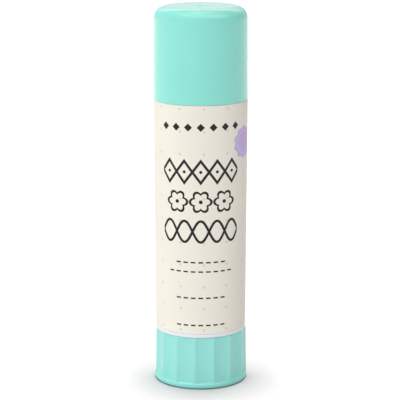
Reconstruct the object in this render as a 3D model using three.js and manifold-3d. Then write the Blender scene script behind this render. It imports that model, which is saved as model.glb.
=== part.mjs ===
// A twist-up glue stick with its cap on: cap, barrel, wrap label, turning knob, spindle, carrier, glue.
// Millimetres, +Z up, origin at the centre of the foot, front of the label towards -Y.

import * as THREE from 'three';
import { mergeVertices, toCreasedNormals } from 'three/addons/utils/BufferGeometryUtils.js';
import Module from 'manifold-3d';

// Overall heights
const stickHeight = 104.1;
const capHeight = 25.2;
const neckHeight = 6;
const knobHeight = 14.6;
const collarHeight = 0.95;

// Radial build-up, from the bore outwards
const boreRadius = 10.3;
const neckWall = 1.1;
const beadProud = 0.1;
const beadClearance = 0.05;
const capWall = 1.3;
const spigotWall = 0.8;
const knobClearance = 0.2;
const knobWall = 0.75;

// Cap
const capDraft = 0.15;
const capTopThickness = 1.4;
const capShoulderRadius = 3.2;
const capSealWidth = 0.35;
const capSealClearance = 0.15;
const rimChamfer = 0.2;
const grooveDepth = 0.12;
const gateRadius = 1.1;
const gateDepth = 0.2;

// Snap bead on the neck
const beadOffset = 2.6;
const beadHalfHeight = 0.6;
const beadCrestHalf = 0.25;

// Barrel
const bodyDraft = 0.5;
const seatGap = 0.1;
const mouthChamfer = 0.3;
const floorThickness = 1.4;
const ribCount = 4;
const ribHeight = 0.4;
const ribWidth = 1.2;
const ribShortfall = 5;
const rootOverlap = 0.5;

// Label
const labelThickness = 0.12;
const labelGap = 0.03;
const labelEndGap = 0.05;
const labelSeam = 0.4;

// Turning knob
const fluteCount = 15;
const fluteDepth = 0.5;
const ridgePhaseDegrees = -7.3;
const knobFlare = 0.2;
const footBeadHeight = 1.8;
const footBeadProud = 0.05;
const footRounding = 0.8;
const footRingWidth = 1.9;
const footRecess = 0.6;
const knobFloor = 1.4;
const knobTopGap = 0.1;

// Spindle
const threadLead = 4;
const threadMajorRadius = 3.6;
const threadDepth = 1;
const threadCrest = 0.9;
const threadFlank = 0.6;
const plugSides = 6;
const plugRadius = 3.4;
const plugLength = 3.1;
const plugClearance = 0.1;
const bossWall = 1.6;
const flangeRadius = 5;
const flangeThickness = 0.8;
const journalRadius = 3.75;
const journalClearance = 0.15;
const barbProud = 0.65;
const barbCrest = 0.4;
const barbTaper = 1;
const tipTaper = 1.5;
const tipGap = 0.3;

// Carrier
const carrierClearance = 0.15;
const carrierLift = 0.2;
const carrierFloor = 1.4;
const carrierWall = 0.9;
const cupDepth = 7;
const hubWall = 1.8;
const hubHeight = 8.4;
const nutClearance = 0.4;
const nutAxialClearance = 0.3;
const notchClearance = 0.2;

// Glue
const glueGap = 0.05;
const glueBelowMouth = 5.2;
const glueCrown = 5.5;
const glueDome = 0.3;
const spindleClearance = 0.1;

// Facets
const sides = 48;
const arcSteps = 5;
const fluteSteps = 3;
const threadStepsPerTurn = 10;
const nutStepsPerTurn = 20;
const threadSectionStep = THREE.MathUtils.degToRad(30);
const weldDistance = 1e-5;
const cutOverrun = 1;
const creaseAngle = THREE.MathUtils.degToRad(35);

// Heights worked out from the ones above
const capSeat = stickHeight - capHeight;
const mouth = capSeat + neckHeight;
const beadHeight = capSeat + beadOffset;
const collarFoot = knobHeight + knobTopGap;
const collarTop = collarFoot + collarHeight;
const knobFloorTop = footRecess + knobFloor;
const plugFoot = footRecess + knobFloor / 2;
const bossTop = plugFoot + plugLength;
const flangeFoot = bossTop + seatGap;
const barrelFloor = flangeFoot + flangeThickness + seatGap;
const barrelFloorTop = barrelFloor + floorThickness;
const barbFoot = barrelFloorTop + seatGap;
const threadFoot = barbFoot + barbCrest + barbTaper;
const carrierFoot = threadFoot + carrierLift;
const carrierFloorTop = carrierFoot + carrierFloor;
const cupTop = carrierFloorTop + cupDepth;
const hubTop = carrierFoot + hubHeight;
const glueTop = mouth - glueBelowMouth;
const glueBoreTop = glueTop - glueCrown;
const spindleTip = glueBoreTop - tipGap;

// Radii worked out from the ones above
const neckRadius = boreRadius + neckWall;
const capBore = neckRadius + beadProud + beadClearance;
const capRimRadius = capBore + capWall;
const capTopRadius = capRimRadius - capDraft;
const bodyTopRadius = capRimRadius;
const bodyFootRadius = capRimRadius - bodyDraft;
const spigotRadius = boreRadius + spigotWall;
const knobBore = spigotRadius + knobClearance;
const ridgeTopRadius = knobBore + knobWall + fluteDepth;
const ridgeFootRadius = ridgeTopRadius + knobFlare;
const footRadius = ridgeFootRadius + footBeadProud;
const bossRadius = plugRadius + bossWall;
const barbRadius = journalRadius + barbProud;
const floorHole = journalRadius + journalClearance;
const carrierRadius = boreRadius - carrierClearance;
const cupRadius = carrierRadius - carrierWall;
const hubRadius = threadMajorRadius + hubWall;
const ribInnerRadius = boreRadius - ribHeight;

const wasm = await Module();
wasm.setup();

const point = (radius, height) => new THREE.Vector2(radius, height);

// Points of a round stretch of an outline, from one angle to another about a centre
function arc(centreRadius, centreHeight, radius, fromDegrees, toDegrees) {
  const points = [];
  for (let step = 0; step <= arcSteps; step += 1) {
    const angle = THREE.MathUtils.degToRad(fromDegrees + ((toDegrees - fromDegrees) * step) / arcSteps);
    points.push(point(centreRadius + radius * Math.cos(angle), centreHeight + radius * Math.sin(angle)));
  }
  return points;
}

// A closed mesh with its shared vertices merged becomes a solid that can be cut and joined
function toSolid(geometry) {
  geometry.deleteAttribute('normal');
  geometry.deleteAttribute('uv');
  const merged = mergeVertices(geometry, weldDistance);
  const corners = merged.index.array;
  const kept = [];
  for (let first = 0; first < corners.length; first += 3) {
    const [a, b, c] = corners.subarray(first, first + 3);
    if (a !== b && b !== c && c !== a) kept.push(a, b, c);
  }
  const vertProperties = new Float32Array(merged.attributes.position.array);
  const triVerts = new Uint32Array(kept);
  return new wasm.Manifold(new wasm.Mesh({ numProp: 3, vertProperties, triVerts }));
}

function toGeometry(solid) {
  const mesh = solid.getMesh();
  const geometry = new THREE.BufferGeometry();
  geometry.setAttribute('position', new THREE.BufferAttribute(mesh.vertProperties, 3));
  geometry.setIndex(new THREE.BufferAttribute(mesh.triVerts, 1));
  return toCreasedNormals(geometry, creaseAngle);
}

// Turns an outline of (radius, height) points about the Z axis, with a vertex towards -Y
function revolve(points) {
  const geometry = new THREE.LatheGeometry(points, sides);
  geometry.rotateX(Math.PI / 2);
  return toSolid(geometry);
}

// The same, for an outline that goes round a ring and closes on itself
function revolveRing(points) {
  return revolve([...points, points[0]]);
}

function box(width, depth, low, high, x, y, turn) {
  const geometry = new THREE.BoxGeometry(width, depth, high - low);
  geometry.translate(x, y, (low + high) / 2);
  geometry.rotateZ(turn);
  return toSolid(geometry);
}

// Bars along the bore, evenly round it, from one radius out to another
function bars(width, innerRadius, outerRadius, low, high) {
  const depth = outerRadius - innerRadius;
  const middle = (innerRadius + outerRadius) / 2;
  const all = [];
  for (let index = 0; index < ribCount; index += 1) {
    all.push(box(depth, width, low, high, middle, 0, (index * 2 * Math.PI) / ribCount));
  }
  return all.reduce((joined, bar) => joined.add(bar));
}

// Radius of the coarse left-hand thread, as a function of the angle round one slice of it
function threadSection(majorRadius, minorRadius, crestWidth) {
  const turn = (2 * Math.PI) / threadLead;
  const crestEdge = (crestWidth / 2) * turn;
  const rootEdge = crestEdge + threadFlank * turn;
  const stretches = [
    [-crestEdge, crestEdge, majorRadius, majorRadius],
    [crestEdge, rootEdge, majorRadius, minorRadius],
    [rootEdge, 2 * Math.PI - rootEdge, minorRadius, minorRadius],
    [2 * Math.PI - rootEdge, 2 * Math.PI - crestEdge, minorRadius, majorRadius],
  ];
  const points = [];
  for (const [from, to, fromRadius, toRadius] of stretches) {
    const steps = Math.ceil((to - from) / threadSectionStep);
    for (let step = 0; step < steps; step += 1) {
      const share = step / steps;
      const angle = from + (to - from) * share;
      const radius = fromRadius + (toRadius - fromRadius) * share;
      points.push(point(radius * Math.cos(angle), radius * Math.sin(angle)));
    }
  }
  return new THREE.Shape(points);
}

// The slice is turned steadily as it rises, clockwise seen from above, which winds a left-hand thread
function threadedRod(section, low, high, stepsPerTurn) {
  const steps = Math.ceil(((high - low) / threadLead) * stepsPerTurn);
  const geometry = new THREE.ExtrudeGeometry(section, { depth: high - low, steps, bevelEnabled: false });
  geometry.translate(0, 0, low);
  const places = geometry.attributes.position;
  for (let index = 0; index < places.count; index += 1) {
    const angle = (-2 * Math.PI * places.getZ(index)) / threadLead;
    const x = places.getX(index);
    const y = places.getY(index);
    places.setX(index, x * Math.cos(angle) - y * Math.sin(angle));
    places.setY(index, x * Math.sin(angle) + y * Math.cos(angle));
  }
  return toSolid(geometry);
}

// Outline of the snap bead or of the groove that clears it, going upwards at a given wall radius
function beadOutline(wallRadius, proud) {
  return [
    point(wallRadius, beadHeight - beadHalfHeight),
    point(wallRadius + proud, beadHeight - beadCrestHalf),
    point(wallRadius + proud, beadHeight + beadCrestHalf),
    point(wallRadius, beadHeight + beadHalfHeight),
  ];
}

// Cap: a deep cup, mouth down, with a groove for the bead and a step that closes on the barrel's mouth
function makeCap() {
  const ceiling = stickHeight - capTopThickness;
  const upperBore = capBore - capSealWidth;
  const innerRounding = Math.max(capShoulderRadius - capTopThickness, rimChamfer);
  const step = mouth + capSealClearance;
  return revolve([
    point(0, ceiling),
    ...arc(upperBore - innerRounding, ceiling - innerRounding, innerRounding, 90, 0),
    point(upperBore, step),
    point(capBore, step),
    ...beadOutline(capBore, grooveDepth).reverse(),
    point(capBore, capSeat + rimChamfer),
    point(capBore + rimChamfer, capSeat),
    point(capRimRadius - rimChamfer, capSeat),
    point(capRimRadius, capSeat + rimChamfer),
    ...arc(capTopRadius - capShoulderRadius, stickHeight - capShoulderRadius, capShoulderRadius, 0, 90),
    point(gateRadius, stickHeight),
    point(gateRadius - gateDepth, stickHeight - gateDepth),
    point(0, stickHeight - gateDepth),
  ]);
}

// Radius of the barrel under the label at a given height: the body narrows evenly towards its foot
function labelSeatRadius(height) {
  const share = (height - collarTop) / (capSeat - collarTop);
  const outside = bodyFootRadius + (bodyTopRadius - bodyFootRadius) * share;
  return outside - labelThickness - labelGap;
}

// Barrel: spigot and floor below, collar, long body under the label, and the neck that the cap fits
function makeBarrel() {
  const shoulder = capSeat - seatGap;
  const tube = revolveRing([
    point(floorHole, barrelFloor),
    point(spigotRadius - mouthChamfer, barrelFloor),
    point(spigotRadius, barrelFloor + mouthChamfer),
    point(spigotRadius, collarFoot),
    point(bodyFootRadius, collarFoot),
    point(bodyFootRadius, collarTop),
    point(labelSeatRadius(collarTop), collarTop),
    point(labelSeatRadius(shoulder), shoulder),
    point(neckRadius, shoulder),
    ...beadOutline(neckRadius, beadProud),
    point(neckRadius, mouth - mouthChamfer),
    point(neckRadius - mouthChamfer, mouth),
    point(boreRadius + mouthChamfer, mouth),
    point(boreRadius, mouth - mouthChamfer),
    point(boreRadius, barrelFloorTop),
    point(floorHole, barrelFloorTop),
  ]);
  const ribTop = mouth - ribShortfall;
  const ribs = bars(ribWidth, ribInnerRadius, boreRadius + rootOverlap, barrelFloorTop - rootOverlap, ribTop);
  return tube.add(ribs);
}

// Label: one thin wrap between the collar and the cap's rim, its two ends meeting at the back
function makeLabel() {
  const low = collarTop + labelEndGap;
  const high = capSeat - seatGap - labelEndGap;
  const lowRadius = labelSeatRadius(low) + labelGap;
  const highRadius = labelSeatRadius(high) + labelGap;
  const wrap = revolveRing([
    point(lowRadius, low),
    point(lowRadius + labelThickness, low),
    point(highRadius + labelThickness, high),
    point(highRadius, high),
  ]);
  const slitFrom = lowRadius - labelThickness;
  const slitTo = highRadius + 2 * labelThickness;
  const slitMiddle = (slitFrom + slitTo) / 2;
  const slit = box(labelSeam, slitTo - slitFrom, low - cutOverrun, high + cutOverrun, 0, slitMiddle, 0);
  return wrap.subtract(slit);
}

// One slice of the fluted skirt: hollow arcs that meet in sharp ridges
function fluteSection() {
  const halfPitch = Math.PI / fluteCount;
  const valleyRadius = ridgeTopRadius - fluteDepth;
  const halfChord = ridgeTopRadius * Math.sin(halfPitch);
  const sagitta = Math.max(ridgeTopRadius * Math.cos(halfPitch) - valleyRadius, rimChamfer);
  const fluteRadius = (sagitta * sagitta + halfChord * halfChord) / (2 * sagitta);
  const centreDistance = ridgeTopRadius * Math.cos(halfPitch) - sagitta + fluteRadius;
  const sweep = Math.asin(halfChord / fluteRadius);
  const firstRidge = THREE.MathUtils.degToRad(ridgePhaseDegrees) - Math.PI / 2;
  const outline = new THREE.Shape();
  for (let index = 0; index < fluteCount; index += 1) {
    const middle = firstRidge + (2 * index + 1) * halfPitch;
    const x = centreDistance * Math.cos(middle);
    const y = centreDistance * Math.sin(middle);
    outline.absarc(x, y, fluteRadius, middle + Math.PI + sweep, middle + Math.PI - sweep, true);
  }
  return outline;
}

// Fluted skirt: the slice widens evenly from the top of the knob down to the foot bead
function makeFlutedSkirt() {
  const low = footBeadHeight - footRounding;
  const depth = knobHeight - low;
  const options = { depth, steps: 1, curveSegments: fluteSteps, bevelEnabled: false };
  const geometry = new THREE.ExtrudeGeometry(fluteSection(), options);
  geometry.translate(0, 0, low);
  const places = geometry.attributes.position;
  for (let index = 0; index < places.count; index += 1) {
    const drop = (knobHeight - places.getZ(index)) / depth;
    const scale = 1 + ((ridgeFootRadius - ridgeTopRadius) / ridgeTopRadius) * drop;
    places.setX(index, places.getX(index) * scale);
    places.setY(index, places.getY(index) * scale);
  }
  return toSolid(geometry);
}

// Six-sided plug, or the socket that takes it, by the radius of its corners
function hexPrism(radius, low, high) {
  const geometry = new THREE.CylinderGeometry(radius, radius, high - low, plugSides);
  geometry.rotateX(Math.PI / 2);
  geometry.translate(0, 0, (low + high) / 2);
  return toSolid(geometry);
}

// Turning knob: fluted skirt on a round foot bead, a floor, and a boss with the spindle's socket
function makeKnob() {
  const foot = revolve([
    point(0, footRecess),
    point(footRadius - footRounding - footRingWidth - footRecess, footRecess),
    point(footRadius - footRounding - footRingWidth, 0),
    ...arc(footRadius - footRounding, footRounding, footRounding, -90, 0),
    ...arc(footRadius - footRounding, footBeadHeight - footRounding, footRounding, 0, 90),
    point(0, footBeadHeight),
  ]);
  const middleOfWall = knobBore + knobWall / 2;
  const floor = revolve([
    point(0, footRecess),
    point(middleOfWall, footRecess),
    point(middleOfWall, knobFloorTop),
    point(0, knobFloorTop),
  ]);
  const hollow = revolve([
    point(0, bossTop),
    point(bossRadius, bossTop),
    point(bossRadius, knobFloorTop),
    point(knobBore, knobFloorTop),
    point(knobBore, knobHeight + cutOverrun),
    point(0, knobHeight + cutOverrun),
  ]);
  const socket = hexPrism(plugRadius + plugClearance, plugFoot - seatGap, bossTop + cutOverrun);
  return foot.add(floor).add(makeFlutedSkirt()).subtract(hollow).subtract(socket);
}

// Spindle: hexagonal plug, flange, journal through the barrel's floor, snap barb and the long thread
function makeSpindle() {
  const minorRadius = threadMajorRadius - threadDepth;
  const coreTop = threadFoot + rootOverlap;
  const foot = revolve([
    point(0, flangeFoot),
    point(flangeRadius, flangeFoot),
    point(flangeRadius, flangeFoot + flangeThickness),
    point(journalRadius, flangeFoot + flangeThickness),
    point(journalRadius, barbFoot),
    point(barbRadius, barbFoot),
    point(barbRadius, barbFoot + barbCrest),
    point(minorRadius, threadFoot),
    point(minorRadius, coreTop),
    point(0, coreTop),
  ]);
  const plug = hexPrism(plugRadius, plugFoot, flangeFoot + flangeThickness / 2);
  const section = threadSection(threadMajorRadius, minorRadius, threadCrest);
  const envelope = revolve([
    point(0, threadFoot),
    point(threadMajorRadius + rootOverlap, threadFoot),
    point(threadMajorRadius + rootOverlap, spindleTip - tipTaper),
    point(minorRadius - rootOverlap, spindleTip),
    point(0, spindleTip),
  ]);
  const rod = threadedRod(section, threadFoot - cutOverrun, spindleTip + cutOverrun, threadStepsPerTurn);
  return foot.add(plug).add(rod.intersect(envelope));
}

// Carrier: a shallow cup with a threaded hub, notched round its rim for the ribs of the bore
function makeCarrier() {
  const cup = revolve([
    point(0, carrierFoot),
    point(carrierRadius, carrierFoot),
    point(carrierRadius, cupTop),
    point(cupRadius, cupTop),
    point(cupRadius, carrierFloorTop),
    point(hubRadius, carrierFloorTop),
    point(hubRadius, hubTop),
    point(0, hubTop),
  ]);
  const majorRadius = threadMajorRadius + nutClearance;
  const minorRadius = threadMajorRadius - threadDepth + nutClearance;
  const section = threadSection(majorRadius, minorRadius, threadCrest + 2 * nutAxialClearance);
  const nut = threadedRod(section, carrierFoot - cutOverrun, hubTop + cutOverrun, nutStepsPerTurn);
  const notchWidth = ribWidth + 2 * notchClearance;
  const notchRadius = ribInnerRadius - notchClearance;
  const notchLow = carrierFoot - cutOverrun;
  const notchHigh = cupTop + cutOverrun;
  const notches = bars(notchWidth, notchRadius, boreRadius + rootOverlap, notchLow, notchHigh);
  return cup.subtract(nut).subtract(notches);
}

// Glue: cast in the cup and the bore, closed over the tip of the spindle, with a low dome on top
function makeGlue() {
  const bore = threadMajorRadius + spindleClearance;
  const lowRadius = cupRadius - glueGap;
  const radius = boreRadius - glueGap;
  const domeRim = radius - glueDome;
  const domeHeight = (at) => glueTop - glueDome * (at / domeRim) ** 2;
  const column = revolve([
    point(hubRadius + glueGap, carrierFloorTop + glueGap),
    point(lowRadius, carrierFloorTop + glueGap),
    point(lowRadius, cupTop + glueGap),
    point(radius, cupTop + glueGap),
    point(radius, domeHeight(domeRim) - glueDome),
    point(domeRim, domeHeight(domeRim)),
    point(domeRim / 2, domeHeight(domeRim / 2)),
    point(0, glueTop),
    point(0, glueBoreTop),
    point(bore, glueBoreTop),
    point(bore, hubTop + glueGap),
    point(hubRadius + glueGap, hubTop + glueGap),
    point(hubRadius + glueGap, carrierFloorTop + glueGap),
  ]);
  const grooveRadius = ribInnerRadius - glueGap;
  const grooveWidth = ribWidth + 2 * glueGap;
  return column.subtract(bars(grooveWidth, grooveRadius, boreRadius + rootOverlap, carrierFoot, mouth));
}

// Colours and finishes
const mint = { color: 0x98e4d7, roughness: 0.42 };
const white = { color: 0xeef1f1, roughness: 0.42 };
const cream = { color: 0xe7e5d9, roughness: 0.6 };
const gluePaste = { color: 0xf3f1ea, roughness: 0.55 };

function piece(name, solid, finish) {
  const material = new THREE.MeshStandardMaterial({ ...finish, metalness: 0 });
  const mesh = new THREE.Mesh(toGeometry(solid), material);
  mesh.name = name;
  return mesh;
}

const glueStick = new THREE.Group();
glueStick.add(piece('turning_knob', makeKnob(), mint));
glueStick.add(piece('spindle', makeSpindle(), white));
glueStick.add(piece('barrel', makeBarrel(), white));
glueStick.add(piece('label', makeLabel(), cream));
glueStick.add(piece('carrier', makeCarrier(), white));
glueStick.add(piece('glue', makeGlue(), gluePaste));
glueStick.add(piece('cap', makeCap(), mint));

export default glueStick;
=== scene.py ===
import math

import bpy
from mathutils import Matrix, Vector


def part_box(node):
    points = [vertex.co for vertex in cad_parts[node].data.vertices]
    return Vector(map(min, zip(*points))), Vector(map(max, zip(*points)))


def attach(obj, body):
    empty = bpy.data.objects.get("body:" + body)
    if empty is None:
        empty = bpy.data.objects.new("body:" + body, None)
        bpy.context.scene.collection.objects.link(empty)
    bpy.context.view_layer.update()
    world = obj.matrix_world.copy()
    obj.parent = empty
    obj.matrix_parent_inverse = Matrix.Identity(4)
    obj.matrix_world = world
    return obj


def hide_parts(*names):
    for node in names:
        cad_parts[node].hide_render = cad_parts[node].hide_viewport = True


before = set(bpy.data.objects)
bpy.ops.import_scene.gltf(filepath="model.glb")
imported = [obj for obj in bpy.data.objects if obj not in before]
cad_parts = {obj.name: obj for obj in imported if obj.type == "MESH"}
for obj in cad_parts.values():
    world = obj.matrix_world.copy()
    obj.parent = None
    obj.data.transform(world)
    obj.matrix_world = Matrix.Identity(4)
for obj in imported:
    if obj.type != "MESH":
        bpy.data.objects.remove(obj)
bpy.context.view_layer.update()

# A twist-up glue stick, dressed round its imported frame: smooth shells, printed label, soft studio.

MM = 0.001


def reach(node):
    """Lowest height, highest height and outer radius of a CAD node, in mm."""
    low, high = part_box(node)
    return low.z / MM, high.z / MM, high.x / MM


# Heights and outer radii in mm, from the frame
FOOT, KNOB_TOP, FOOT_RADIUS = reach("turning_knob")
BARREL_FLOOR, MOUTH = reach("barrel")[:2]
LABEL_FOOT, LABEL_TOP = reach("label")[:2]
CAP_SEAT, CAP_TOP, CAP_RIM_RADIUS = reach("cap")
GLUE_TOP = reach("glue")[1]
CARRIER_FOOT = reach("carrier")[0]

# Narrow seams between the pieces, in mm
KNOB_GAP = 0.04
LABEL_END_GAP = 0.05
CAP_GAP = 0.05
LABEL_CAP_GAP = 0.07
LABEL_GAP = 0.03
LABEL_SEAM = 0.4
SEAL_CLEARANCE = 0.15
GLUE_GAP = 0.05

# Cap, in mm
CAP_WALL = 1.3
CAP_DRAFT = 0.15
CAP_SHOULDER_RADIUS = 3.2
CAP_TOP_THICKNESS = 1.4
CAP_SEAL = 0.35

# Gate mark in the middle of the cap: a shallow dish round a pit, with depths from the flat top
DISH_RADIUS = 2.2
DISH_FLOOR_RADIUS = 1.9
DISH_DEPTH = 0.12
PIT_RADIUS = 0.95
PIT_FLOOR_RADIUS = 0.8
PIT_DEPTH = 0.42

# Snap bead on the neck, and its groove in the cap
SNAP_OFFSET = 2.6
SNAP_HALF_HEIGHT = 0.6
SNAP_CREST_HALF = 0.2
SNAP_PROUD = 0.1
GROOVE_DEPTH = 0.12

# Barrel
BORE_RADIUS = 10.3
NECK_RADIUS = 11.4
SPIGOT_RADIUS = 11.1
BODY_DRAFT = 0.5
FLOOR_THICKNESS = 1.4
FLOOR_HOLE = 3.9
COLLAR_FOOT = KNOB_TOP + KNOB_GAP
COLLAR_TOP = LABEL_FOOT - LABEL_END_GAP
BARREL_SHOULDER = CAP_SEAT - CAP_GAP

# Ribs in the bore, which end short of the mouth
RIB_COUNT = 4
RIB_HEIGHT = 0.4
RIB_WIDTH = 1.2
RIB_FLANK = 0.3
RIB_SHORTFALL = 5
RIB_RUN_OUT = 0.4
RIB_TOP = MOUTH - RIB_SHORTFALL

# Label
LABEL_THICKNESS = 0.12
LABEL_EDGE = CAP_SEAT - LABEL_CAP_GAP

# Knob
KNOB_BORE = 11.3
KNOB_FLOOR = 2.0
BOSS_RADIUS = 5.0
BOSS_TOP = 4.4
SOCKET_RADIUS = 3.5
SOCKET_FLOOR = 1.2
RIDGE_TOP_RADIUS = 12.55
RIDGE_FOOT_RADIUS = 12.75
FLUTES = 15
FLUTE_DEPTH = 0.65
FLUTE_COLUMNS = 24
RIDGE_SOFTNESS = 0.12
FIRST_RIDGE = math.radians(-7.3)
SKIRT_ROWS = (3.0, 5.5, 8.5, 11.5)

# Round bead and standing ring at the knob's foot
FOOT_BEAD_TOP = 1.8
FOOT_BEAD_SOFTNESS = 0.08
FOOT_BEAD_ROWS = 16
FOOT_BEAD_OVERRUN = 1.08
FOOT_ROUNDING = 0.8
FOOT_RING_WIDTH = 1.9
FOOT_RECESS = 0.6

# Glue, cast in the carrier's cup and round its hub
CARRIER_FLOOR = 1.4
CUP_TOP = CARRIER_FOOT + 8.4
CUP_RADIUS = 9.2
HUB_RADIUS = 5.45
GLUE_RADIUS = 10.25
GLUE_BORE = 3.7
GLUE_CROWN = 5.5
DOME_HEIGHT = 0.3
DOME_FLAT_SHARE = 0.55
DOME_FLAT_DROP = 0.05

# Meshes, in mm: columns, arc steps, and the short flat kept on each side of a rounding
SEGMENTS = 240
ARC_STEPS = 5
ARC_STEPS_PER_MM = 3
HOLD = 0.12
HOLD_SHARE = 0.8
SHORTEST_HOLD = 0.01
NEAR = 0.01
SHARP_ANGLE = math.radians(40)


def outline(corners, ring=False):
    """Rounds each (radius, height, rounding) corner and holds the straights beside it flat."""
    points = []
    count = len(corners)
    for index, (radius, height, rounding) in enumerate(corners):
        here = Vector((radius, height))
        if rounding == 0 or (not ring and index in (0, count - 1)):
            points.append(here)
            continue
        before = Vector(corners[index - 1][:2]) - here
        after = Vector(corners[(index + 1) % count][:2]) - here
        half = before.angle(after) / 2
        back = rounding / math.tan(half)
        back_unit = before.normalized()
        ahead_unit = after.normalized()
        centre = here + (back_unit + ahead_unit).normalized() * rounding / math.sin(half)
        start = here + back_unit * back - centre
        end = here + ahead_unit * back - centre
        first = math.atan2(start.y, start.x)
        turn = (math.atan2(end.y, end.x) - first + math.pi) % (2 * math.pi) - math.pi
        hold_back = min(HOLD, (before.length / 2 - back) * HOLD_SHARE)
        hold_ahead = min(HOLD, (after.length / 2 - back) * HOLD_SHARE)
        if hold_back > SHORTEST_HOLD:
            points.append(here + back_unit * (back + hold_back))
        steps = ARC_STEPS + int(rounding * ARC_STEPS_PER_MM)
        for step in range(steps + 1):
            angle = first + turn * step / steps
            points.append(centre + Vector((math.cos(angle), math.sin(angle))) * rounding)
        if hold_ahead > SHORTEST_HOLD:
            points.append(here + ahead_unit * (back + hold_ahead))
    return points


def place(radius, azimuth, height):
    """A point in metres. Azimuth 0 is the front, -Y, and grows towards +X."""
    return (radius * math.sin(azimuth) * MM, -radius * math.cos(azimuth) * MM, height * MM)


def revolve(name, points, ring=False, shift=None, segments=SEGMENTS, start=0.0, sweep=None):
    """Turns an outline about the Z axis, all the way round or through a sweep with closed ends.

    A ring is an outline that closes on itself. A shift moves single points in or out by their place.
    """
    columns = segments if sweep is None else segments + 1
    step_angle = (2 * math.pi if sweep is None else sweep) / segments
    vertices = []
    rows = []
    for radius, height in points:
        if radius == 0:
            rows.append([len(vertices)] * columns)
            vertices.append((0.0, 0.0, height * MM))
            continue
        row = []
        for column in range(columns):
            azimuth = start + column * step_angle
            moved = radius + (shift(radius, height, azimuth) if shift else 0.0)
            row.append(len(vertices))
            vertices.append(place(moved, azimuth, height))
        rows.append(row)
    pairs = list(zip(rows, rows[1:]))
    if ring:
        pairs.append((rows[-1], rows[0]))
    faces = []
    for low, high in pairs:
        for column in range(segments):
            after = (column + 1) % columns
            corners = [low[column], low[after], high[after], high[column]]
            face = list(dict.fromkeys(corners))
            if len(face) > 2:
                faces.append(face)
    if sweep is not None:
        faces.append([row[0] for row in rows])
        faces.append([row[-1] for row in reversed(rows)])
    mesh = bpy.data.meshes.new(name)
    mesh.from_pydata(vertices, [], faces)
    mesh.shade_smooth()
    mesh.set_sharp_from_angle(angle=SHARP_ANGLE)
    piece = bpy.data.objects.new(name, mesh)
    bpy.context.scene.collection.objects.link(piece)
    return piece


def dress(piece, material, body, node):
    """Gives a piece its material and its body, and lets it stand for its CAD node."""
    piece.data.materials.append(material)
    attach(piece, body)
    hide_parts(node)


def linear(red, green, blue):
    """An sRGB colour, 0 to 255, as a shader colour."""
    channels = []
    for value in (red, green, blue):
        share = value / 255
        channels.append(share / 12.92 if share <= 0.04045 else ((share + 0.055) / 1.055) ** 2.4)
    return (*channels, 1.0)


def add_node(tree, kind, inputs=None, **settings):
    """Adds a shader node, each of its inputs linked to a socket or set to a value."""
    made = tree.nodes.new(kind)
    for key, value in settings.items():
        setattr(made, key, value)
    for key, value in (inputs or {}).items():
        if isinstance(value, bpy.types.NodeSocket):
            tree.links.new(value, made.inputs[key])
        else:
            made.inputs[key].default_value = value
    return made


class Graph:
    """Short names for the nodes of one material."""

    def __init__(self, name):
        self.material = bpy.data.materials.new(name)
        self.material.use_nodes = True
        self.tree = self.material.node_tree
        self.shader = self.tree.nodes["Principled BSDF"]
        self.here = self.node("ShaderNodeTexCoord").outputs["Object"]

    def node(self, kind, inputs=None, **settings):
        return add_node(self.tree, kind, inputs, **settings)

    def math(self, operation, *values):
        return self.node("ShaderNodeMath", dict(enumerate(values)), operation=operation).outputs[0]

    def noise(self, size, detail=2.0):
        """Noise from 0 to 1, with features about this many mm across."""
        inputs = {"Vector": self.here, "Scale": 1 / (size * MM), "Detail": detail}
        return self.node("ShaderNodeTexNoise", inputs).outputs["Fac"]

    def spread(self, value, from_low, from_high, to_low, to_high, smooth=False):
        """Maps one range onto another, straight or with soft ends."""
        inputs = {
            "Value": value,
            "From Min": from_low,
            "From Max": from_high,
            "To Min": to_low,
            "To Max": to_high,
        }
        kind = "SMOOTHSTEP" if smooth else "LINEAR"
        return self.node("ShaderNodeMapRange", inputs, interpolation_type=kind).outputs["Result"]

    def patches(self, size, detail, low, high, margin=0.3):
        """Noise whose middle band is stretched to run from low to high."""
        return self.spread(self.noise(size, detail), margin, 1 - margin, low, high)

    def mix(self, share, first, second):
        """Blends two colours. The colour sockets share their names with others, so they go by number."""
        inputs = {0: share, 6: first, 7: second}
        return self.node("ShaderNodeMix", inputs, data_type="RGBA").outputs[2]

    def finish(self, colour, roughness, bumps, **constants):
        """Links colour and roughness, and stacks bumps of (height, depth in mm)."""
        self.tree.links.new(colour, self.shader.inputs["Base Color"])
        self.tree.links.new(roughness, self.shader.inputs["Roughness"])
        normal = None
        for height, depth in bumps:
            inputs = {"Height": height, "Distance": depth * MM, "Strength": 1.0}
            if normal:
                inputs["Normal"] = normal
            normal = self.node("ShaderNodeBump", inputs).outputs["Normal"]
        self.tree.links.new(normal, self.shader.inputs["Normal"])
        for key, value in constants.items():
            self.shader.inputs[key.replace("_", " ")].default_value = value
        return self.material


# Moulded plastic: its colours, and heights in mm where the knob's painted light and the polish begin and
# end. The knob's paler mint is painted light: the floor's bounce put into the colour.
MINT = linear(120, 208, 194)
MINT_PALE = linear(125, 210, 197)
# Paler mint on the knob: painted light, the brighter bounce from the white floor put into the colour.
MINT_KNOB_PAINTED_LIGHT = linear(135, 213, 204)
WHITE = linear(217, 221, 227)
WHITE_PALE = linear(222, 226, 231)
KNOB_PAINTED_LIGHT_END = KNOB_TOP + 0.1
PAINTED_LIGHT_FADED = KNOB_TOP + 0.6
POLISH_START = CAP_TOP - 0.8
POLISH_FULL = CAP_TOP - 0.1
POLISHED = 0.4


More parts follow.
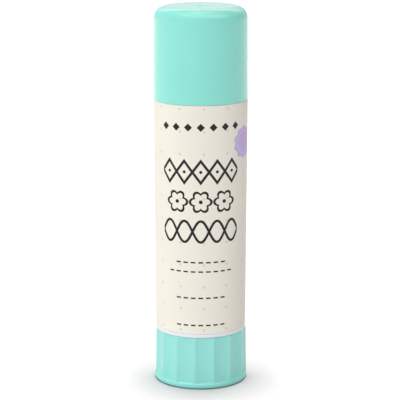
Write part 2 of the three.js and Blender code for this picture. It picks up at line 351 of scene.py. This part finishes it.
def moulded_plastic(name, main, pale, painted_knob_colour, smooth, rough, gloss):
    """Satin injection-moulded plastic: faint clouding, fine grain, orange peel, and a paler colour on
    the knob that is painted light from the floor's bounce.

    The mould is polished at the flat top of the cap, so the plastic is glossier there.
    """
    g = Graph(name)
    clouds = g.patches(14.0, 3.0, 0.0, 1.0)
    height = g.node("ShaderNodeSeparateXYZ", {"Vector": g.here}).outputs["Z"]
    # Painted light: the colour is paler on the knob, up to just over its top, and fades out below the
    # cap.
    painted_knob_share = g.spread(height, KNOB_PAINTED_LIGHT_END * MM, PAINTED_LIGHT_FADED * MM, 1.0, 0.0)
    colour = g.mix(painted_knob_share, g.mix(clouds, main, pale), painted_knob_colour)
    satin = g.patches(1.6, 4.0, smooth, rough)
    polish = g.spread(height, POLISH_START * MM, POLISH_FULL * MM, 1.0, POLISHED)
    roughness = g.math("MULTIPLY", satin, polish)
    orange_peel = (g.noise(1.1), 0.004)
    grain = (g.noise(0.16), 0.0012)
    return g.finish(colour, roughness, [orange_peel, grain], Specular_IOR_Level=gloss)


mint_plastic = moulded_plastic(
    "mint_plastic", MINT, MINT_PALE, MINT_KNOB_PAINTED_LIGHT, smooth=0.28, rough=0.35, gloss=0.75
)
white_plastic = moulded_plastic(
    "white_plastic", WHITE, WHITE_PALE, WHITE, smooth=0.36, rough=0.44, gloss=0.5
)


# Print on the label, in mm: arc lengths round the barrel from the front, and heights
PRINT_RADIUS = 12.6
EDGE = 0.05
STROKE = 0.7
INK = linear(16, 15, 15)
CREAM = linear(222, 220, 209)
CREAM_WARM = linear(225, 222, 210)

# Tiny dots
DOT_COLUMNS = 12
DOT_PHASE = math.radians(4.0)
DOT_ROW_PITCH = 6.11
DOT_FIRST_ROW = LABEL_FOOT + 1.1
DOT_RADIUS = 0.36
DOT_COLOURS = [
    linear(203, 200, 191), linear(199, 204, 190), linear(206, 199, 198),
    linear(211, 198, 191), linear(209, 203, 184),
]

# Rosette
ROSETTE_AZIMUTH = math.radians(64.8)
ROSETTE_HEIGHT = LABEL_TOP - 10.8
ROSETTE_RADIUS = 4.4
ROSETTE_CORE = 0.88 * ROSETTE_RADIUS
ROSETTE_SCALLOP = 0.14 * ROSETTE_RADIUS
ROSETTE_LOBES = 10
RING_RADIUS = 0.7 * ROSETTE_RADIUS
RING_HALF_WIDTH = 0.16
LILAC = linear(190, 172, 214)
LILAC_PALE = linear(205, 190, 226)

# Small marks in the ornament bands
LATTICE_DOT = 0.6 * STROKE
FLOWER_EYE = 0.75 * STROKE
STITCH_HALF = 0.3 * STROKE
PETALS = 6
PETAL_SHARE = 0.3


def below(g, value, limit):
    """1 where the value is under the limit, with a soft printed edge."""
    return g.spread(value, limit - EDGE, limit + EDGE, 1.0, 0.0, smooth=True)


def length_of(g, across, up):
    return g.math("SQRT", g.math("ADD", g.math("POWER", across, 2.0), g.math("POWER", up, 2.0)))


def cells(g, value, pitch):
    """Number of the nearest cell, and the distance from its centre."""
    scaled = g.math("DIVIDE", value, pitch)
    cell = g.math("ROUND", scaled)
    offset = g.math("MULTIPLY", g.math("SUBTRACT", scaled, cell), pitch)
    return cell, offset


def dots(g, arc, height):
    """An even grid of tiny dots, each with a colour drawn from a pastel set."""
    pitch = 2 * math.pi * PRINT_RADIUS / DOT_COLUMNS
    column, across = cells(g, g.math("SUBTRACT", arc, DOT_PHASE * PRINT_RADIUS), pitch)
    row, up = cells(g, g.math("SUBTRACT", height, DOT_FIRST_ROW), DOT_ROW_PITCH)
    cell = g.node("ShaderNodeCombineXYZ", {"X": column, "Y": row}).outputs[0]
    pick = g.node("ShaderNodeTexWhiteNoise", {"Vector": cell}).outputs["Value"]
    ramp = g.node("ShaderNodeValToRGB", {"Fac": pick})
    ramp.color_ramp.interpolation = "CONSTANT"
    stops = ramp.color_ramp.elements
    while len(stops) < len(DOT_COLOURS):
        stops.new(1.0)
    for index, pastel in enumerate(DOT_COLOURS):
        stops[index].position = index / len(DOT_COLOURS)
        stops[index].color = pastel
    return below(g, length_of(g, across, up), DOT_RADIUS), ramp.outputs["Color"]


def rosette(g, arc, height):
    """A plain scalloped disc with a paler ring inside it."""
    across = g.math("SUBTRACT", arc, ROSETTE_AZIMUTH * PRINT_RADIUS)
    up = g.math("SUBTRACT", height, ROSETTE_HEIGHT)
    distance = length_of(g, across, up)
    turn = g.math("MULTIPLY", g.math("ARCTAN2", up, across), ROSETTE_LOBES / 2)
    scallop = g.math("MULTIPLY", g.math("ABSOLUTE", g.math("SINE", turn)), ROSETTE_SCALLOP)
    disc = below(g, g.math("SUBTRACT", distance, scallop), ROSETTE_CORE)
    ring = below(g, g.math("ABSOLUTE", g.math("SUBTRACT", distance, RING_RADIUS)), RING_HALF_WIDTH)
    return disc, g.mix(ring, LILAC, LILAC_PALE)


def diamonds(g, arc, up, size, period):
    """A row of small solid diamonds."""
    offset = cells(g, arc, period)[1]
    span = g.math("ADD", g.math("ABSOLUTE", offset), g.math("ABSOLUTE", up))
    return below(g, span, size / 2)


def lattice(g, arc, up, swing, period):
    """Two zigzags crossing into a chain of diamonds, each with a dot in its middle."""
    offset = cells(g, arc, period)[1]
    fold = g.math("MULTIPLY", g.math("ABSOLUTE", offset), 2 / period)
    line = g.math("MULTIPLY_ADD", fold, -swing, swing)
    lean = math.cos(math.atan(2 * swing / period))
    away = g.math("ABSOLUTE", g.math("SUBTRACT", g.math("ABSOLUTE", up), line))
    stroke = below(g, g.math("MULTIPLY", away, lean), STROKE / 2)
    dot = below(g, length_of(g, offset, up), LATTICE_DOT)
    return g.math("MAXIMUM", stroke, dot)


def flowers(g, arc, up, radius, period):
    """A row of outlined flowers with a dot in each."""
    offset = cells(g, arc, period)[1]
    distance = length_of(g, offset, up)
    turn = g.math("MULTIPLY", g.math("ARCTAN2", up, offset), PETALS / 2)
    petals = g.math("MULTIPLY", g.math("ABSOLUTE", g.math("COSINE", turn)), radius * PETAL_SHARE)
    edge = g.math("SUBTRACT", g.math("SUBTRACT", distance, petals), radius * (1 - PETAL_SHARE))
    stroke = below(g, g.math("ABSOLUTE", edge), STROKE / 2)
    return g.math("MAXIMUM", stroke, below(g, distance, FLOWER_EYE))


def braid(g, arc, up, swing, period):
    """Two crossing waves."""
    turn = g.math("MULTIPLY", arc, math.pi / period)
    line = g.math("MULTIPLY", g.math("ABSOLUTE", g.math("COSINE", turn)), swing)
    slope = g.math("MULTIPLY", g.math("SINE", turn), swing * math.pi / period)
    lean = g.math("SQRT", g.math("MULTIPLY_ADD", slope, slope, 1.0))
    away = g.math("ABSOLUTE", g.math("SUBTRACT", g.math("ABSOLUTE", up), line))
    return below(g, g.math("DIVIDE", away, lean), STROKE / 2)


def stitches(g, arc, up, dash, period):
    """A row of short dashes, like running stitch."""
    along = below(g, g.math("ABSOLUTE", cells(g, arc, period)[1]), dash / 2)
    line = below(g, g.math("ABSOLUTE", up), STITCH_HALF)
    return g.math("MULTIPLY", along, line)


# Ornament bands: pattern, height above the label's foot, size, pitch and count, with lengths in mm
BANDS = [
    (diamonds, 57.3, 2.2, 3.4, 7),
    (lattice, 45.2, 3.0, 4.5, 5),
    (flowers, 37.0, 2.9, 6.6, 3),
    (braid, 28.8, 2.9, 4.5, 5),
    (stitches, 20.2, 1.3, 2.1, 7),
    (stitches, 17.6, 1.3, 2.1, 9),
    (stitches, 10.2, 1.3, 2.1, 7),
    (stitches, 2.5, 1.3, 2.1, 7),
]


def ornament(g, arc, height):
    """Plain black bands about the front: the darkest of all the patterns at each place."""
    ink = None
    for pattern, level, size, period, count in BANDS:
        up = g.math("SUBTRACT", height, LABEL_FOOT + level)
        width = below(g, g.math("ABSOLUTE", arc), period * count / 2)
        band = g.math("MULTIPLY", pattern(g, arc, up, size, period), width)
        ink = g.math("MAXIMUM", ink, band) if ink else band
    return ink


def label_film():
    """Matt cream film with a fine tooth, tiny pastel dots, a plain rosette and simple black bands."""
    g = Graph("label_film")
    parts = g.node("ShaderNodeSeparateXYZ", {"Vector": g.here}).outputs
    azimuth = g.math("ARCTAN2", parts["X"], g.math("MULTIPLY", parts["Y"], -1.0))
    arc = g.math("MULTIPLY", azimuth, PRINT_RADIUS)
    height = g.math("DIVIDE", parts["Z"], MM)
    colour = g.mix(g.patches(9.0, 4.0, 0.0, 1.0, margin=0.35), CREAM, CREAM_WARM)
    for mask, paint in (dots(g, arc, height), rosette(g, arc, height)):
        colour = g.mix(mask, colour, paint)
    ink = ornament(g, arc, height)
    colour = g.mix(ink, colour, INK)
    paper = g.patches(0.5, 5.0, 0.55, 0.65)
    ink_sheen = g.math("MULTIPLY", ink, 0.1)
    roughness = g.math("SUBTRACT", paper, ink_sheen)
    tooth = (g.noise(0.22, 4.0), 0.003)
    waviness = (g.noise(6.0), 0.008)
    return g.finish(colour, roughness, [tooth, waviness], Specular_IOR_Level=0.3)


GLUE = linear(228, 225, 215)
GLUE_PALE = linear(234, 232, 224)


def glue_paste():
    """Soft waxy glue: cloudy off-white with a faint drag texture."""
    g = Graph("glue_paste")
    colour = g.mix(g.patches(3.5, 4.0, 0.0, 1.0), GLUE, GLUE_PALE)
    roughness = g.patches(1.2, 3.0, 0.34, 0.5)
    drag = (g.noise(2.4, 3.0), 0.05)
    grain = (g.noise(0.3, 3.0), 0.006)
    return g.finish(colour, roughness, [drag, grain], Subsurface_Weight=0.25,
                    Subsurface_Scale=0.0015, Subsurface_Radius=(1.0, 0.9, 0.8))


def snap_corners(radius, proud, rounding):
    """Corners of the snap bead or of its groove, from the lowest to the highest."""
    middle = CAP_SEAT + SNAP_OFFSET
    return [
        (radius, middle - SNAP_HALF_HEIGHT, rounding),
        (radius + proud, middle - SNAP_CREST_HALF, rounding),
        (radius + proud, middle + SNAP_CREST_HALF, rounding),
        (radius, middle + SNAP_HALF_HEIGHT, rounding),
    ]


def make_cap():
    ceiling = CAP_TOP - CAP_TOP_THICKNESS
    bore = CAP_RIM_RADIUS - CAP_WALL
    upper = bore - CAP_SEAL
    seal = MOUTH + SEAL_CLEARANCE
    shell = outline([
        (0, ceiling, 0),
        (upper, ceiling, CAP_SHOULDER_RADIUS - CAP_TOP_THICKNESS),
        (upper, seal, 0.06),
        (bore, seal, 0.08),
        *reversed(snap_corners(bore, GROOVE_DEPTH, 0.2)),
        (bore, CAP_SEAT, 0.3),
        (CAP_RIM_RADIUS, CAP_SEAT, 0.05),
        (CAP_RIM_RADIUS - CAP_DRAFT, CAP_TOP, CAP_SHOULDER_RADIUS),
        (DISH_RADIUS, CAP_TOP, 0.3),
        (DISH_FLOOR_RADIUS, CAP_TOP - DISH_DEPTH, 0.3),
        (PIT_RADIUS, CAP_TOP - DISH_DEPTH, 0.1),
        (PIT_FLOOR_RADIUS, CAP_TOP - PIT_DEPTH, 0.1),
        (0, CAP_TOP - PIT_DEPTH, 0),
    ])
    piece = revolve("cap_shell", shell)
    dress(piece, mint_plastic, "cap_body", "cap")


def seat_radius(height):
    """Radius of the barrel under the label: the body narrows evenly towards its foot."""
    share = (height - COLLAR_TOP) / (CAP_SEAT - COLLAR_TOP)
    outside = CAP_RIM_RADIUS - BODY_DRAFT * (1 - share)
    return outside - LABEL_THICKNESS - LABEL_GAP


def rib_share(azimuth, width, radius):
    """1 on a rib of the bore and 0 away from it, with sloped flanks."""
    pitch = 2 * math.pi / RIB_COUNT
    away = abs((azimuth + pitch / 2) % pitch - pitch / 2) * radius
    return min(1.0, max(0.0, (width / 2 + RIB_FLANK / 2 - away) / RIB_FLANK))


def make_barrel():
    floor_top = BARREL_FLOOR + FLOOR_THICKNESS
    foot_radius = CAP_RIM_RADIUS - BODY_DRAFT
    tube = outline([
        (FLOOR_HOLE, BARREL_FLOOR, 0),
        (SPIGOT_RADIUS, BARREL_FLOOR, 0.3),
        (SPIGOT_RADIUS, COLLAR_FOOT, 0.1),
        (foot_radius, COLLAR_FOOT, 0.12),
        (foot_radius, COLLAR_TOP, 0.06),
        (seat_radius(COLLAR_TOP), COLLAR_TOP, 0),
        (seat_radius(BARREL_SHOULDER), BARREL_SHOULDER, 0.1),
        (NECK_RADIUS, BARREL_SHOULDER, 0.12),
        *snap_corners(NECK_RADIUS, SNAP_PROUD, 0.3),
        (NECK_RADIUS, MOUTH, 0.35),
        (BORE_RADIUS, MOUTH, 0.35),
        (BORE_RADIUS, RIB_TOP + RIB_RUN_OUT, 0),
        (BORE_RADIUS, RIB_TOP, 0),
        (BORE_RADIUS, floor_top, 0),
        (FLOOR_HOLE, floor_top, 0),
    ], ring=True)

    def ribs(radius, height, azimuth):
        on_bore = abs(radius - BORE_RADIUS) < NEAR and floor_top - NEAR < height < RIB_TOP + NEAR
        return -RIB_HEIGHT * rib_share(azimuth, RIB_WIDTH, BORE_RADIUS) if on_bore else 0.0

    piece = revolve("barrel_tube", tube, ring=True, shift=ribs)
    dress(piece, white_plastic, "barrel_body", "barrel")


def make_label():
    """The wrap has its seam at the back, where its two ends leave a narrow gap."""
    seam = LABEL_SEAM / PRINT_RADIUS
    low_radius = seat_radius(LABEL_FOOT) + LABEL_GAP
    high_radius = seat_radius(LABEL_EDGE) + LABEL_GAP
    skin = outline([
        (low_radius, LABEL_FOOT, 0),
        (low_radius + LABEL_THICKNESS, LABEL_FOOT, 0.04),
        (high_radius + LABEL_THICKNESS, LABEL_EDGE, 0.03),
        (high_radius, LABEL_EDGE, 0),
    ], ring=True)
    sweep = 2 * math.pi - seam
    piece = revolve("label_wrap", skin, ring=True, start=seam / 2 - math.pi, sweep=sweep)
    dress(piece, label_film(), "barrel_body", "label")


def smooth_min(first, second, soft):
    """The smaller of two values, with a soft change between them."""
    blend = max(soft - abs(first - second), 0.0) / soft
    return min(first, second) - blend * blend * soft / 4


def flute_radius(azimuth):
    """Radius of one slice of the fluted skirt: hollow arcs that meet in slightly rounded ridges."""
    pitch = 2 * math.pi / FLUTES
    half_chord = RIDGE_TOP_RADIUS * math.sin(pitch / 2)
    sagitta = RIDGE_TOP_RADIUS * math.cos(pitch / 2) - (RIDGE_TOP_RADIUS - FLUTE_DEPTH)
    arc_radius = (sagitta * sagitta + half_chord * half_chord) / (2 * sagitta)
    centre = RIDGE_TOP_RADIUS - FLUTE_DEPTH + arc_radius

    def arc(angle):
        return centre * math.cos(angle) - math.sqrt(arc_radius ** 2 - (centre * math.sin(angle)) ** 2)

    from_middle = abs((azimuth - FIRST_RIDGE) % pitch - pitch / 2)
    return smooth_min(arc(from_middle), arc(pitch - from_middle), RIDGE_SOFTNESS)


def foot_bead_radius(height):
    """Radius of the round bead at the knob's foot, as far up as its top rounding goes."""
    rise = height - (FOOT_BEAD_TOP - FOOT_ROUNDING)
    if rise > FOOT_ROUNDING:
        return 0.0
    return FOOT_RADIUS - FOOT_ROUNDING + math.sqrt(FOOT_ROUNDING ** 2 - max(rise, 0.0) ** 2)


def make_knob():
    ring_inner = FOOT_RADIUS - FOOT_ROUNDING - FOOT_RING_WIDTH
    bead_middle = FOOT_BEAD_TOP - FOOT_ROUNDING
    rows = []
    for step in range(FOOT_BEAD_ROWS + 1):
        rows.append(bead_middle + FOOT_ROUNDING * (FOOT_BEAD_OVERRUN * step / FOOT_BEAD_ROWS))
    rows.extend(SKIRT_ROWS)
    wall = [(RIDGE_TOP_RADIUS, height, 0) for height in rows]
    profile = outline([
        (0, FOOT_RECESS, 0),
        (ring_inner - FOOT_RECESS, FOOT_RECESS, 0.3),
        (ring_inner, FOOT, 0.3),
        (FOOT_RADIUS, FOOT, FOOT_ROUNDING),
        (FOOT_RADIUS, (FOOT_ROUNDING + bead_middle) / 2, 0),
        *wall,
        (RIDGE_TOP_RADIUS, KNOB_TOP, 0.4),
        (KNOB_BORE, KNOB_TOP, 0.05),
        (KNOB_BORE, KNOB_FLOOR, 0.3),
        (BOSS_RADIUS, KNOB_FLOOR, 0.2),
        (BOSS_RADIUS, BOSS_TOP, 0.1),
        (SOCKET_RADIUS, BOSS_TOP, 0.1),
        (SOCKET_RADIUS, SOCKET_FLOOR, 0),
        (0, SOCKET_FLOOR, 0),
    ])

    def flutes(radius, height, azimuth):
        """Moves the skirt to its flutes and bead, and the top face with it, less and less inwards."""
        if radius < RIDGE_TOP_RADIUS - FLUTE_DEPTH or height < bead_middle - NEAR:
            return 0.0
        flare = (RIDGE_FOOT_RADIUS - RIDGE_TOP_RADIUS) * (1 - height / KNOB_TOP)
        fluted = flute_radius(azimuth) + flare
        skirt = -smooth_min(-fluted, -foot_bead_radius(height), FOOT_BEAD_SOFTNESS)
        share = (radius - KNOB_BORE) / (RIDGE_TOP_RADIUS - KNOB_BORE)
        return (skirt - RIDGE_TOP_RADIUS) * share

    columns = FLUTES * FLUTE_COLUMNS
    piece = revolve("knob_shell", profile, shift=flutes, segments=columns, start=FIRST_RIDGE)
    dress(piece, mint_plastic, "knob_body", "turning_knob")


def make_glue():
    floor = CARRIER_FOOT + CARRIER_FLOOR + GLUE_GAP
    over_cup = CUP_TOP + GLUE_GAP
    column = outline([
        (HUB_RADIUS, floor, 0),
        (CUP_RADIUS, floor, 0),
        (CUP_RADIUS, over_cup, 0),
        (GLUE_RADIUS, over_cup, 0),
        (GLUE_RADIUS, GLUE_TOP - DOME_HEIGHT, 0.5),
        (GLUE_RADIUS * DOME_FLAT_SHARE, GLUE_TOP - DOME_FLAT_DROP, 3.0),
        (0, GLUE_TOP, 0),
        (0, GLUE_TOP - GLUE_CROWN, 0),
        (GLUE_BORE, GLUE_TOP - GLUE_CROWN, 0),
        (GLUE_BORE, over_cup, 0),
        (HUB_RADIUS, over_cup, 0),
        (HUB_RADIUS, floor, 0),
    ])

    groove_floor = GLUE_RADIUS - RIB_HEIGHT - GLUE_GAP

    def grooves(radius, height, azimuth):
        """Moves the side and its rounded edge in to the grooves, which clear the ribs of the bore."""
        proud = max(radius - groove_floor, 0.0)
        return -proud * rib_share(azimuth, RIB_WIDTH + 2 * GLUE_GAP, GLUE_RADIUS)

    piece = revolve("glue_column", column, shift=grooves)
    dress(piece, glue_paste(), "carrier_body", "glue")


def dress_hidden_pieces():
    """The spindle and the carrier keep their CAD meshes and only change their material."""
    for node in ("spindle", "carrier"):
        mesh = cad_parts[node].data
        mesh.materials.clear()
        mesh.materials.append(white_plastic)


# Camera, in mm: the photograph's own view, from its rim ellipses and widths
IMAGE_SIZE = 400
FOCAL_PIXELS = 1758.8
SENSOR_WIDTH = 36.0
CAMERA_DISTANCE = 472.6
CAMERA_HEIGHT = 156.5
CAMERA_SIDE = -0.2
CAMERA_PITCH = math.radians(12.64)


def make_camera():
    data = bpy.data.cameras.new("camera")
    data.sensor_width = SENSOR_WIDTH
    data.lens = FOCAL_PIXELS * SENSOR_WIDTH / IMAGE_SIZE
    data.clip_start = 0.01
    data.clip_end = 50.0
    camera = bpy.data.objects.new("camera", data)
    camera.location = (CAMERA_SIDE * MM, -CAMERA_DISTANCE * MM, CAMERA_HEIGHT * MM)
    camera.rotation_euler = (math.pi / 2 - CAMERA_PITCH, 0, 0)
    bpy.context.scene.collection.objects.link(camera)
    bpy.context.scene.camera = camera


def seen_directly(tree):
    """1 for rays from the camera, off gloss or through glass, and 0 for the light that falls."""
    rays = add_node(tree, "ShaderNodeLightPath").outputs
    seen = rays["Is Camera Ray"]
    for name in ("Is Glossy Ray", "Is Transmission Ray"):
        inputs = {0: seen, 1: rays[name]}
        seen = add_node(tree, "ShaderNodeMath", inputs, operation="MAXIMUM").outputs[0]
    return seen


SKY_LIGHT = 0.12


def make_world():
    """White where it is seen directly, and a dim fill light everywhere else."""
    world = bpy.data.worlds.new("studio")
    bpy.context.scene.world = world
    world.use_nodes = True
    tree = world.node_tree
    background = tree.nodes["Background"]
    background.inputs["Color"].default_value = (1, 1, 1, 1)
    inputs = {"Value": seen_directly(tree), "To Min": SKY_LIGHT, "To Max": 1.0}
    strength = add_node(tree, "ShaderNodeMapRange", inputs).outputs["Result"]
    tree.links.new(strength, background.inputs["Strength"])


# Floor, in metres: its glow grows with the distance from the stick
FLOOR_SIZE = 8.0
FLOOR_COLOUR = (0.8, 0.765, 0.77, 1)
GLOW_START = 0.05
GLOW_END = 0.6
GLOW_NEAR = 0.02
GLOW_FAR = 0.85


def floor_white():
    """Matt white for the light that falls, with a glow of its own where it is seen directly."""
    material = bpy.data.materials.new("floor_white")
    material.use_nodes = True
    tree = material.node_tree
    tree.nodes.remove(tree.nodes["Principled BSDF"])
    matt = add_node(tree, "ShaderNodeBsdfDiffuse", {"Color": FLOOR_COLOUR}).outputs[0]
    where = add_node(tree, "ShaderNodeTexCoord").outputs["Object"]
    distance = add_node(tree, "ShaderNodeVectorMath", {0: where}, operation="LENGTH").outputs["Value"]
    inputs = {
        "Value": distance,
        "From Min": GLOW_START,
        "From Max": GLOW_END,
        "To Min": GLOW_NEAR,
        "To Max": GLOW_FAR,
    }
    rise = add_node(tree, "ShaderNodeMapRange", inputs).outputs["Result"]
    inputs = {0: seen_directly(tree), 1: rise}
    strength = add_node(tree, "ShaderNodeMath", inputs, operation="MULTIPLY").outputs[0]
    glow = add_node(tree, "ShaderNodeEmission", {"Strength": strength}).outputs[0]
    both = add_node(tree, "ShaderNodeAddShader", {0: matt, 1: glow}).outputs[0]
    tree.links.new(both, tree.nodes["Material Output"].inputs["Surface"])
    return material


def make_floor():
    half = FLOOR_SIZE / 2
    corners = [(-half, -half, 0), (half, -half, 0), (half, half, 0), (-half, half, 0)]
    mesh = bpy.data.meshes.new("floor")
    mesh.from_pydata(corners, [], [(0, 1, 2, 3)])
    floor = bpy.data.objects.new("floor", mesh)
    bpy.context.scene.collection.objects.link(floor)
    mesh.materials.append(floor_white())
    return floor


def link_group(name, floor, state):
    """A light-linking group that takes the floor in, or leaves only the floor out."""
    group = bpy.data.collections.new(name)
    group.objects.link(floor)
    group.collection_objects[0].light_linking.link_state = state
    return group


# Height in metres that the lamps are aimed at, about the middle of the stick
LAMP_AIM = 0.055


def make_lamp(name, azimuth, elevation, distance, width, height, brightness, lights, in_gloss=True):
    """A rectangular softbox aimed at the stick. A brightness of 1 looks as bright as white paper.

    A low lamp stays out of the gloss, because the flat top of the cap would mirror it as white.
    """
    data = bpy.data.lights.new(name, "AREA")
    data.shape = "RECTANGLE"
    data.size = width
    data.size_y = height
    data.energy = math.pi * width * height * brightness
    lamp = bpy.data.objects.new(name, data)
    turn = math.radians(azimuth)
    climb = math.radians(elevation)
    across = distance * math.cos(climb)
    away = Vector((math.sin(turn) * across, -math.cos(turn) * across, distance * math.sin(climb)))
    lamp.location = Vector((0, 0, LAMP_AIM)) + away
    lamp.rotation_euler = (-away).to_track_quat("-Z", "Y").to_euler()
    lamp.light_linking.receiver_collection = lights
    lamp.visible_camera = False
    lamp.visible_glossy = in_gloss
    bpy.context.scene.collection.objects.link(lamp)


make_camera()
make_cap()
make_barrel()
make_label()
make_knob()
make_glue()
dress_hidden_pieces()
make_world()
floor = make_floor()
stick_only = link_group("stick_only", floor, "EXCLUDE")
floor_only = link_group("floor_only", floor, "INCLUDE")

# Each lamp: azimuth and elevation in degrees, distance, width and height in metres, brightness
make_lamp("left_strip", -98, 16, 1.1, 0.8, 0.7, 2.2, stick_only, in_gloss=False)
make_lamp("front_softbox", -26, 14, 1.5, 2.0, 0.9, 2.1, stick_only, in_gloss=False)
make_lamp("high_front", -38, 64, 1.1, 1.3, 0.45, 3.1, stick_only)
make_lamp("high_right", 60, 50, 1.1, 0.4, 0.4, 5.0, stick_only)
make_lamp("overhead", 180, 80, 1.1, 0.5, 0.4, 3.0, stick_only)
make_lamp("back_panel", 180, 40, 1.2, 1.8, 0.5, 1.2, stick_only)
make_lamp("floor_overhead", 180, 88, 3.0, 0.7, 0.7, 70.0, floor_only)

bpy.context.scene.view_settings.view_transform = "Standard"
